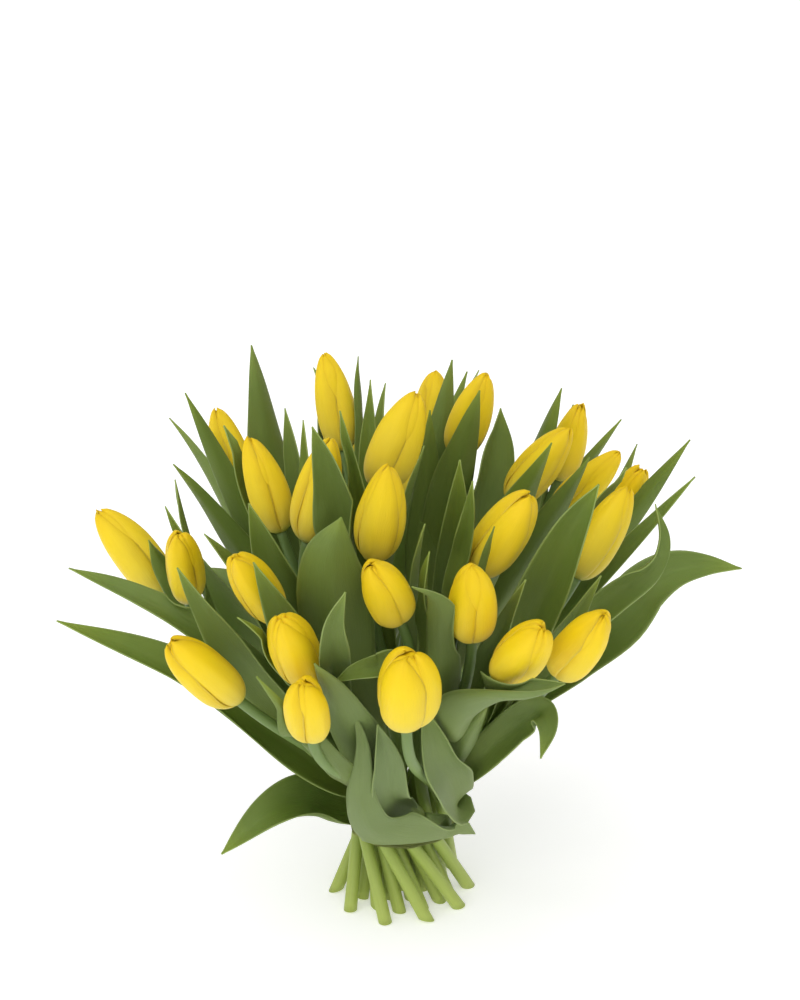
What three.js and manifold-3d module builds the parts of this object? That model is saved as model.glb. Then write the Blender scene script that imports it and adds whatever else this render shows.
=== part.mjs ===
// A hand-tied bunch of yellow tulips that stands on its own splayed stems.
// Millimetres, +Z up. The origin is on the floor, in the middle of the bunch as seen from above. The side that
// faces a viewer is -Y, and +X is to that viewer's right.
import * as THREE from "three";
import { mergeVertices } from "three/addons/utils/BufferGeometryUtils.js";
import Module from "manifold-3d";

const wasm = await Module();
wasm.setup();

// The tie, where every stem crosses.
const TIE_HEIGHT = 48;
const TIE_BAND = 6;
const TIE_THICK = 1.4;
const TIE_SIDES = 30;

// The stems: thickness, the rings they stand in at the tie, and the twist of the spiral, which is the sideways run
// per millimetre of height for each millimetre out from the middle. STEM_LEAVES and STEM_ARRIVES say how far, as
// shares of the way, a stem keeps to its direction at the tie and at its flower. A block as wide as FLOOR_CUT cuts
// the stems off level.
const STEM_RADIUS = 4;
const STEM_SIDES = 8;
const STEM_STEPS = 8;
const SPIRAL = 0.0247;
const STRAIGHT_ABOVE_TIE = 12;
const STEM_LEAVES = 0.36;
const STEM_ARRIVES = 0.3;
const STEM_BENDS = 5;
const FLOOR_CUT = 400;
const RINGS = [
  { radius: 0, places: 1, first: 0 },
  { radius: 8.6, places: 6, first: 65 },
  { radius: 17.4, places: 12, first: 127 },
  { radius: 25.8, places: 10, first: 98 },
];

// The gaps between a flower and its stem, and between the tie and the outer stems.
const SEAT_GAP = 0.3;
const TIE_GAP = 0.6;

// Leaves: thickness, how far the root sits inside the stem, how the folded blade opens and narrows along its
// length, and how far, as shares of its reach, it keeps to its direction at the root and at the tip.
const LEAF_THICK = 1.4;
const LEAF_STEPS = 6;
const STEPS_A_BEND = 2;
const MOST_LEAF_STEPS = 14;
const LEAF_ROOT = 1.2;
const ROOT_WIDTH = 0.22;
const WIDEST_AT = 0.42;
const ROOT_FOLD = 58;
const BLADE_FOLD = 20;
const TIP_WIDTH = 1.2;
const TIP_TAPER = 1.9;
const LEAVING_ANGLE = 18;
const LEAF_LEAVES = 0.38;
const LEAF_ARRIVES = 0.32;

// A blade that meets a flower lies round it: how far it keeps off, and the round shape that it keeps off from, as
// the height of the middle and the half height, both as shares of the flower's length.
const BLADE_CLEARANCE = 3;
const ROUND_MIDDLE = 0.42;
const ROUND_HALF = 0.64;

// The outline of a closed flower, as shares of its half width and its length.
const FLOWER_SIDES = 8;
const FLOWER_OUTLINE = [
  [0, 0],
  [0.55, 0.05],
  [0.93, 0.22],
  [1, 0.45],
  [0.8, 0.75],
  [0, 1],
];

// One row for each tulip. spot is where its flower starts, as seen from the middle of the tie: the compass angle,
// the lean from upright and the distance. faces is the flower's own compass angle and lean. flower is its length
// and width. waist is its ring and place at the tie. A leaf is the share of the stem where it leaves it, its tip,
// its width, how far the tip bends back, how far the blade is rolled about its own length and, on some, its own
// leaving angle. A leaf that bends more than once has the share, the points that it runs by, the last one its tip,
// its width, and the compass angle and lean that its hollow side looks to at the root and at the tip. Some of those
// have their own fold and taper.
const TULIPS = [
  {
    spot: [128, 14, 225], faces: [135, 16], flower: [58, 24], waist: [1, 2],
    leaves: [[0.6, [-25, 42, 323], 12, 5, 0], [0.3, [-52, 78, 305], 26, 15, 0]],
  },
  {
    spot: [200, 4, 213], faces: [25, 25], flower: [60, 30], waist: [0, 0],
    leaves: [[0.5, [12, -34, 296], 15, 0, 0], [0.55, [-18, 30, 313], 15, 0, 0]],
  },
  {
    spot: [77, 20, 213], faces: [75, 14], flower: [56, 24], waist: [2, 1],
    leaves: [[0.5, [29, 58, 316], 22, 0, 0], [0.35, [46, 95, 298], 26, 10, 0]],
  },
  {
    spot: [54, 14, 222], faces: [335, 20], flower: [56, 25], waist: [1, 1],
    leaves: [[0.35, [16, 32, 294], 22, 0, 0], [0.5, [43, 4, 315], 26, 0, 0]],
  },
  {
    spot: [154, 29, 214], faces: [150, 18], flower: [56, 24], waist: [2, 3],
    leaves: [[0.4, [-123, 30, 305], 17, 10, 0], [0.3, [-128, 0, 273], 19, 15, 0]],
  },
  {
    spot: [196, 20, 205], faces: [170, 17], flower: [58, 24], waist: [1, 3],
    leaves: [[0.35, [-98, -12, 300], 28, 5, 0], [0.55, [-66, 18, 300], 20, 0, 0]],
  },
  {
    spot: [220, 19, 208], faces: [15, 14], flower: [60, 27], waist: [1, 4],
    leaves: [
      {
        share: 0.4,
        by: [[-30, -48, 232], [-33, -55, 264], [-38, -61, 291], [-47, -66, 318]],
        width: 28,
        looks: [[245, 80], [250, 80]],
      },
      [0.6, [-54, -20, 306], 16, 0, 0],
    ],
  },
  {
    spot: [257, 19, 206], faces: [320, 11], flower: [58, 28], waist: [1, 5],
    leaves: [[0.4, [-33, -46, 320], 18, 0, 0], [0.3, [12, -88, 272], 24, 5, 0]],
  },
  {
    spot: [179, 43, 199], faces: [160, 42], flower: [62, 28], waist: [2, 4],
    leaves: [
      [0.7, [-141, -22, 236], 20, 10, 0],
      {
        share: 0.15,
        by: [[-41, -24, 113], [-101, -48, 184], [-144, -44, 211], [-186, -24, 220]],
        width: 20,
        looks: [[300, 45], [290, 50]],
      },
      [0.25, [-136, 20, 240], 26, 10, 0],
    ],
  },
  {
    spot: [197, 38, 201], faces: [264, 22], flower: [52, 22], waist: [3, 4],
    leaves: [[0.6, [-124, -30, 275], 18, 5, 0]],
  },
  {
    spot: [230, 32, 197], faces: [230, 34], flower: [56, 24], waist: [2, 5],
    leaves: [[0.35, [-104, -82, 264], 28, 5, 0], [0.45, [-82, -58, 272], 30, 5, 0]],
  },
  {
    spot: [246, 40, 189], faces: [244, 30], flower: [56, 27], waist: [2, 6],
    leaves: [
      {
        share: 0.3,
        by: [[-31, -74, 175], [-36, -95, 226], [-37, -106, 259], [-31, -114, 286]],
        width: 42,
        looks: [[90, 70], [90, 75]],
      },
      [0.5, [-76, -116, 262], 26, 0, 0],
      [0.3, [-83, -140, 242], 16, 10, 0],
      {
        share: 0.35,
        by: [[-35, -88, 167], [-36, -120, 206], [-35, -144, 238], [-28, -154, 262]],
        width: 19,
        looks: [[275, 60], [285, 60]],
      },
    ],
  },
  {
    spot: [251, 49, 190], faces: [261, 26], flower: [45, 24], waist: [3, 6],
    leaves: [
      {
        share: 0.12,
        by: [[-22, -72, 105], [-31, -100, 129], [-42, -124, 156], [-54, -138, 180], [-74, -142, 210]],
        width: 16,
        looks: [[80, 50], [120, 60]],
      },
      {
        share: 0.02,
        by: [
          [31, -40, 61], [22, -50, 63], [10, -62, 68], [-5, -74, 76], [-17, -84, 89], [-22, -94, 110],
          [-22, -102, 130], [-21, -106, 148], [-23, -109, 164], [-27, -111, 175],
        ],
        width: 40,
        looks: [[80, 60], [90, 80]], fold: 12, taper: 0.5,
      },
      {
        share: 0.15,
        by: [[-13, -68, 103], [-25, -94, 146], [-33, -124, 185], [-44, -150, 221]],
        width: 30,
        looks: [[90, 60], [75, 70]],
      },
      {
        share: 0.1,
        by: [[-6, -79, 106], [-8, -97, 138], [-13, -107, 165]],
        width: 21,
        looks: [[270, 70], [280, 70]],
      },
    ],
  },
  {
    spot: [229, 46, 185], faces: [208, 42], flower: [57, 27], waist: [3, 5],
    leaves: [
      [0.5, [-118, -90, 248], 24, 10, 0],
      {
        share: 0.2,
        by: [[-41, -50, 104], [-79, -60, 141], [-127, -62, 178], [-188, -62, 205]],
        width: 32,
        looks: [[290, 40], [290, 45]],
      },
      {
        share: 0.04,
        by: [[-38, -46, 78], [-55, -60, 91], [-75, -76, 93], [-100, -90, 76]],
        width: 32,
        looks: [[280, 30], [270, 45]],
      },
    ],
  },
  {
    spot: [269, 29, 199], faces: [240, 34], flower: [50, 26], waist: [2, 7],
    leaves: [
      [0.55, [14, -116, 268], 16, 5, 0],
      {
        share: 0.6,
        by: [[-3, -114, 204], [-13, -122, 206], [-24, -126, 205], [-35, -126, 199]],
        width: 13,
        looks: [[270, 60], [270, 60]],
      },
    ],
  },
  {
    spot: [290, 33, 197], faces: [267, 24], flower: [56, 27], waist: [2, 8],
    leaves: [
      {
        share: 0.4,
        by: [[22, -84, 174], [20, -111, 216], [18, -130, 245], [5, -145, 261]],
        width: 20,
        looks: [[80, 60], [60, 70]],
      },
      [0.4, [64, -108, 249], 14, 0, 0],
    ],
  },
  {
    spot: [306, 21, 197], faces: [330, 31], flower: [60, 29], waist: [2, 9],
    leaves: [
      [0.4, [31, -48, 293], 24, 0, 0],
      [0.45, [48, -92, 272], 14, 0, 0],
      {
        share: 0.5,
        by: [[26, -62, 217], [32, -68, 250], [35, -72, 271], [37, -75, 291]],
        width: 11,
        looks: [[265, 70], [265, 70]],
      },
    ],
  },
  {
    spot: [271, 46, 194], faces: [273, 19], flower: [49, 34], waist: [3, 7],
    leaves: [
      {
        share: 0.12,
        by: [[31, -48, 83], [26, -72, 110], [20, -87, 131], [16, -99, 153], [11, -105, 175]],
        width: 27,
        looks: [[290, 50], [275, 65]],
      },
    ],
  },
  {
    spot: [295, 40, 194], faces: [300, 41], flower: [56, 27], waist: [3, 8],
    leaves: [
      {
        share: 0.42,
        by: [[28, -87, 145], [35, -111, 170], [50, -134, 192], [66, -144, 200], [83, -144, 207]],
        width: 32,
        looks: [[90, 25], [270, 25]], fold: 36,
      },
      {
        share: 0.2,
        by: [[25, -56, 105], [35, -85, 142], [45, -105, 174]],
        width: 23,
        looks: [[90, 60], [90, 60]], fold: 50,
      },
      {
        share: 0.08,
        by: [[39, -48, 107], [53, -70, 135], [66, -86, 156], [75, -96, 166], [78, -104, 160], [74, -108, 145]],
        width: 21,
        looks: [[290, 50], [250, 60]],
      },
    ],
  },
  {
    spot: [310, 42, 193], faces: [308, 36], flower: [58, 26], waist: [3, 9],
    leaves: [
      {
        share: 0.42,
        by: [[66, -50, 163], [108, -60, 213], [132, -64, 237], [138, -64, 253], [135, -62, 273]],
        width: 19,
        looks: [[280, 45], [330, 75]], fold: 35,
      },
      [0.5, [104, -96, 246], 16, 5, 0],
      {
        share: 0.4,
        by: [[63, -52, 180], [77, -72, 228], [90, -84, 268], [102, -88, 294]],
        width: 33,
        looks: [[262, 70], [255, 75]], fold: 40,
      },
    ],
  },
  {
    spot: [14, 18, 207], faces: [337, 35], flower: [60, 25], waist: [1, 0],
    leaves: [[0.4, [81, -32, 297], 26, 0, 0], [0.7, [57, 48, 290], 34, 5, 0]],
  },
  {
    spot: [36, 31, 223], faces: [342, 15], flower: [50, 22], waist: [2, 0],
    leaves: [[0.4, [92, 48, 302], 24, 0, 0], [0.2, [102, 84, 280], 22, 10, 0]],
  },
  {
    spot: [18, 27, 204], faces: [341, 40], flower: [60, 22], waist: [2, 11],
    leaves: [[0.4, [104, -8, 280], 20, 0, 0]],
  },
  {
    spot: [341, 31, 199], faces: [20, 31], flower: [58, 24], waist: [2, 10],
    leaves: [
      [0.6, [124, -16, 277], 16, 0, 0],
      {
        share: 0.35,
        by: [
          [62, -14, 129], [82, -22, 149], [99, -34, 171], [119, -42, 193], [134, -36, 211], [150, -30, 220],
          [169, -26, 222], [190, -22, 219],
        ],
        width: 34,
        looks: [[260, 45], [270, 50]],
      },
      [0.4, [165, 4, 264], 13, 5, 0],
    ],
  },
  {
    spot: [25, 41, 203], faces: [325, 24], flower: [60, 25], waist: [3, 0],
    leaves: [[0.35, [164, 24, 279], 19, 5, 0], [0.5, [140, 76, 258], 20, 5, 0]],
  },
  {
    spot: [112, 24, 205], faces: [110, 28], flower: [56, 25], waist: [2, 2],
    leaves: [[0.4, [-52, 114, 292], 26, 5, 0], [0.35, [-10, 110, 285], 26, 5, 0]],
  },
  {
    spot: [58, 41, 190], faces: [60, 42], flower: [58, 26], waist: [3, 1],
    leaves: [[0.35, [132, 95, 267], 18, 5, 0], [0.15, [120, 165, 150], 34, 40, 0]],
  },
  {
    spot: [92, 42, 197], faces: [92, 41], flower: [58, 26], waist: [3, 2],
    leaves: [[0.35, [40, 130, 286], 22, 5, 0], [0.15, [-10, 168, 140], 34, 40, 0]],
  },
  {
    spot: [134, 39, 195], faces: [130, 36], flower: [58, 26], waist: [3, 3],
    leaves: [
      [0.55, [-88, 74, 320], 28, 0, 0],
      [0.3, [-142, 112, 262], 28, 10, 0],
      [0.15, [-135, 150, 145], 34, 40, 0],
    ],
  },
];

const UP = new THREE.Vector3(0, 0, 1);
const TIE_MIDDLE = new THREE.Vector3(0, 0, TIE_HEIGHT);
const rad = THREE.MathUtils.degToRad;

// The direction with this compass angle and this lean from upright.
function direction(compass, lean) {
  const flat = Math.sin(rad(lean));
  return new THREE.Vector3(flat * Math.cos(rad(compass)), flat * Math.sin(rad(compass)), Math.cos(rad(lean)));
}

// Where a stem crosses the tie, and the way it runs there: each leans sideways, and more so further out.
function crossing([ring, place]) {
  const { radius, places, first } = RINGS[ring];
  const angle = rad(first + (360 / places) * place);
  const at = new THREE.Vector3(radius * Math.cos(angle), radius * Math.sin(angle), TIE_HEIGHT);
  const way = new THREE.Vector3(SPIRAL * at.y, -SPIRAL * at.x, 1).normalize();
  return { at, way };
}

// The stem from just above the tie up to its flower, as one smooth curve.
function upperStem(tulip) {
  const { at, way } = crossing(tulip.waist);
  at.addScaledVector(way, STRAIGHT_ABOVE_TIE);
  const end = direction(...tulip.spot.slice(0, 2)).multiplyScalar(tulip.spot[2]).add(TIE_MIDDLE);
  const span = at.distanceTo(end);
  const arrive = direction(...tulip.faces);
  return new THREE.CubicBezierCurve3(
    at,
    at.clone().addScaledVector(way, span * STEM_LEAVES),
    end.clone().addScaledVector(arrive, -span * STEM_ARRIVES),
    end,
  );
}

// The whole stem: straight from under the floor to the tie, then the curve. The floor cuts it off level.
function stemGeometry(tulip, curve) {
  const { at, way } = crossing(tulip.waist);
  const buried = (TIE_HEIGHT + 2 * STEM_RADIUS) / way.z;
  const top = curve.getPoint(1).addScaledVector(direction(...tulip.faces), -SEAT_GAP);
  const points = [at.clone().addScaledVector(way, -buried), at.clone().addScaledVector(way, -buried / 2)];
  for (let i = 0; i < STEM_BENDS; i++) points.push(curve.getPoint(i / STEM_BENDS));
  points.push(top);
  const path = new THREE.CatmullRomCurve3(points);
  const section = new THREE.Shape();
  for (let i = 0; i < STEM_SIDES; i++) {
    const angle = (2 * Math.PI * i) / STEM_SIDES;
    const corner = [STEM_RADIUS * Math.cos(angle), STEM_RADIUS * Math.sin(angle)];
    if (i === 0) section.moveTo(...corner);
    else section.lineTo(...corner);
  }
  return new THREE.ExtrudeGeometry(section, { steps: STEM_STEPS, extrudePath: path });
}

// Where each flower stands, for the blades that pass it.
const FLOWERS = TULIPS.map(({ spot, faces, flower: [length, width] }) => ({
  foot: direction(spot[0], spot[1]).multiplyScalar(spot[2]).add(TIE_MIDDLE),
  axis: direction(...faces),
  length,
  half: width / 2,
}));

// The share of its full width that a blade has at a share of its length: narrow root, broad middle, pointed tip.
function bladeWidth(share, taper) {
  if (share < WIDEST_AT) return 1 - (1 - ROOT_WIDTH) * (1 - share / WIDEST_AT) ** 2;
  return 1 - ((share - WIDEST_AT) / (1 - WIDEST_AT)) ** taper;
}

// How far a point has to move to lie clear of the flowers, each of which it leaves straight away from its axis.
function clearOfFlowers(point) {
  const moved = point.clone();
  for (const { foot, axis, length, half } of FLOWERS) {
    const up = moved.clone().sub(foot).dot(axis);
    const level = (up / length - ROUND_MIDDLE) / ROUND_HALF;
    if (Math.abs(level) >= 1) continue;
    const out = moved.clone().sub(foot).addScaledVector(axis, -up);
    const wanted = half * Math.sqrt(1 - level ** 2) + BLADE_CLEARANCE;
    const distance = out.length();
    if (distance < wanted) moved.addScaledVector(out, (wanted - distance) / distance);
  }
  return moved.sub(point);
}

// The unit vector nearest to a line that is square to a way.
function squareTo(way, line) {
  return line.clone().addScaledVector(way, -line.dot(way)).normalize();
}

// A plain leaf's shape: it runs beside its stem and bends away to its tip.
function plainBlade(curve, [from, tip, width, bend, roll, leaving = LEAVING_ANGLE]) {
  const start = curve.getPoint(from);
  const along = curve.getTangent(from);
  const end = new THREE.Vector3(...tip);
  const chord = end.clone().sub(start);
  const reach = chord.length();
  const heading = chord.clone().normalize();
  const away = squareTo(along, heading);
  const faceOf = (way) => {
    const face = along.clone().multiplyScalar(way.dot(away));
    return face.addScaledVector(away, -way.dot(along)).normalize();
  };
  start.addScaledVector(away, LEAF_ROOT);
  const arrive = heading.clone().multiplyScalar(Math.cos(rad(bend)));
  arrive.addScaledVector(faceOf(heading), -Math.sin(rad(bend)));
  const depart = along.clone().multiplyScalar(Math.cos(rad(leaving)));
  depart.addScaledVector(away, Math.sin(rad(leaving)));
  const spine = new THREE.CubicBezierCurve3(
    start,
    start.clone().addScaledVector(depart, reach * LEAF_LEAVES),
    end.clone().addScaledVector(arrive, -reach * LEAF_ARRIVES),
    end,
  );
  const faceAt = (share, way) => faceOf(way).applyAxisAngle(way, rad(roll) * share);
  return { spine, faceAt, width, fold: BLADE_FOLD, taper: TIP_TAPER, steps: LEAF_STEPS };
}

// The shape of a leaf that bends more than once: it runs by its own points.
function bentBlade(curve, { share: from, by, width, looks: [first, last], fold = BLADE_FOLD, taper = TIP_TAPER }) {
  const start = curve.getPoint(from);
  const points = by.map((point) => new THREE.Vector3(...point));
  const away = squareTo(curve.getTangent(from), points[0].clone().sub(start));
  start.addScaledVector(away, LEAF_ROOT);
  const spine = new THREE.CatmullRomCurve3([start, ...points], false, "catmullrom");
  const faceAt = (share, way) => squareTo(way, direction(...first).lerp(direction(...last), share));
  return { spine, faceAt, width, fold, taper, steps: Math.min(STEPS_A_BEND * by.length, MOST_LEAF_STEPS) };
}

// A leaf: a folded blade that starts inside its stem.
function leafGeometry(curve, leaf) {
  const shape = Array.isArray(leaf) ? plainBlade(curve, leaf) : bentBlade(curve, leaf);
  const { spine, faceAt, width, fold, taper, steps } = shape;
  const blade = new THREE.BoxGeometry(2, 1, 1, 2, steps, 1);
  const spot = blade.getAttribute("position");
  for (let i = 0; i < spot.count; i++) {
    const share = spot.getY(i) + 0.5;
    const way = spine.getTangent(share);
    const face = faceAt(share, way);
    const side = new THREE.Vector3().crossVectors(way, face);
    const half = Math.max((width / 2) * bladeWidth(share, taper), TIP_WIDTH / 2);
    const opening = Math.max(0, 1 - share / WIDEST_AT);
    const angle = rad(fold + (ROOT_FOLD - fold) * opening);
    const across = spot.getX(i);
    const at = spine.getPoint(share);
    at.add(clearOfFlowers(at));
    at.addScaledVector(side, across * half * Math.cos(angle));
    at.addScaledVector(face, Math.abs(across) * half * Math.sin(angle));
    at.add(clearOfFlowers(at)).addScaledVector(face, spot.getZ(i) * LEAF_THICK);
    spot.setXYZ(i, at.x, at.y, at.z);
  }
  return blade;
}

// A closed geometry as a solid that can be joined and cut, and a solid as a geometry again.
function solidOf(geometry) {
  const bare = geometry.clone();
  bare.deleteAttribute("normal");
  bare.deleteAttribute("uv");
  const merged = mergeVertices(bare, 1e-3);
  const triVerts = new Uint32Array(merged.index.array);
  return new wasm.Manifold(new wasm.Mesh({ numProp: 3, vertProperties: merged.attributes.position.array, triVerts }));
}

function geometryOf(solid) {
  const { vertProperties, triVerts } = solid.getMesh();
  const geometry = new THREE.BufferGeometry();
  geometry.setAttribute("position", new THREE.BufferAttribute(vertProperties, 3));
  geometry.setIndex(new THREE.BufferAttribute(triVerts, 1));
  geometry.computeVertexNormals();
  return geometry;
}

// A stem with its own leaves, which grew as one piece, cut off level where it stands.
function stemWithLeaves(tulip) {
  const curve = upperStem(tulip);
  const under = new THREE.BoxGeometry(FLOOR_CUT, FLOOR_CUT, FLOOR_CUT).translate(0, 0, -FLOOR_CUT / 2);
  let solid = solidOf(stemGeometry(tulip, curve)).subtract(solidOf(under));
  for (const leaf of tulip.leaves) solid = solid.add(solidOf(leafGeometry(curve, leaf)));
  return geometryOf(solid);
}

// A closed flower, standing on the axis of its own group.
function flowerGeometry([length, width]) {
  const outline = FLOWER_OUTLINE.map(([out, up]) => new THREE.Vector2((out * width) / 2, up * length));
  return new THREE.LatheGeometry(outline, FLOWER_SIDES).rotateX(Math.PI / 2);
}

// The tie: one band round the outer ring of stems.
function tieGeometry() {
  const inner = RINGS.at(-1).radius + STEM_RADIUS + TIE_GAP;
  const outer = inner + TIE_THICK;
  const half = TIE_BAND / 2;
  const outline = [
    [inner, -half],
    [outer, -half],
    [outer, half],
    [inner, half],
    [inner, -half],
  ].map(([out, up]) => new THREE.Vector2(out, up));
  return new THREE.LatheGeometry(outline, TIE_SIDES).rotateX(Math.PI / 2);
}

const petalYellow = new THREE.MeshStandardMaterial({ color: 0xf2cf1e, roughness: 0.55, metalness: 0 });
const leafGreen = new THREE.MeshStandardMaterial({ color: 0x6f8f55, roughness: 0.5, metalness: 0 });
const twineBrown = new THREE.MeshStandardMaterial({ color: 0xb99a62, roughness: 0.9, metalness: 0 });

const bunch = new THREE.Group();

TULIPS.forEach((tulip, index) => {
  const number = String(index + 1).padStart(2, "0");
  const stem = new THREE.Mesh(stemWithLeaves(tulip), leafGreen);
  stem.name = `tulip_${number}_stem_and_leaves`;
  bunch.add(stem);
  const flower = new THREE.Mesh(flowerGeometry(tulip.flower), petalYellow);
  flower.name = `tulip_${number}_flower`;
  flower.position.copy(upperStem(tulip).getPoint(1));
  flower.quaternion.setFromUnitVectors(UP, direction(...tulip.faces));
  bunch.add(flower);
});

const tie = new THREE.Mesh(tieGeometry(), twineBrown);
tie.name = "tie";
tie.position.z = TIE_HEIGHT;
bunch.add(tie);

export default bunch;
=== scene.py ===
import math
import random

import bmesh
import bpy
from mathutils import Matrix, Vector, noise


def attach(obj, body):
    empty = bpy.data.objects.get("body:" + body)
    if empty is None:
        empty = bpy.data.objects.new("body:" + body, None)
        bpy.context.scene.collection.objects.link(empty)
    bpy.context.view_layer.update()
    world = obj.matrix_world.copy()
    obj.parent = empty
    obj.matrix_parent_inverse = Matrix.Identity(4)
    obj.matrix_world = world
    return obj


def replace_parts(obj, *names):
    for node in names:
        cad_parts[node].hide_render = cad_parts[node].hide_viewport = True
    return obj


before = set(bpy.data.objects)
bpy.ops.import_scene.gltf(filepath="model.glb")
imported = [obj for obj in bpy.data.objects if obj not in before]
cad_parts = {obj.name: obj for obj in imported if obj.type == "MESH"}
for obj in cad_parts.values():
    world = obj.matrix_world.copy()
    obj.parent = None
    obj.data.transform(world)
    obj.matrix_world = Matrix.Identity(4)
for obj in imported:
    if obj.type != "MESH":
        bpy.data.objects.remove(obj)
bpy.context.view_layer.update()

# The view. The bunch is looked at from a little over a metre off and from well above its flowers, so that
# its front shows the lowest flowers and the cut stems that it stands on.
CAMERA_AT = (0, -1.133, 0.688)
CAMERA_PITCH = 21.07
CAMERA_LENS = 77.6
CAMERA_SHIFT = -0.002

scene = bpy.context.scene


def add_object(name, data):
    added = bpy.data.objects.new(name, data)
    scene.collection.objects.link(added)
    return added


lens = bpy.data.cameras.new("camera")
lens.sensor_fit = "VERTICAL"
lens.sensor_height = 36
lens.lens = CAMERA_LENS
lens.shift_x = CAMERA_SHIFT
camera = add_object("camera", lens)
camera.location = CAMERA_AT
camera.rotation_euler = (math.radians(90 - CAMERA_PITCH), 0, 0)
scene.camera = camera


# The stems. Each tulip stands on one round, juicy green stalk, cut off at the floor. The stalks are laid
# across each other in a spiral, held in the hand and tied where they cross, so that they splay out below
# and fan out above.

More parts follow.
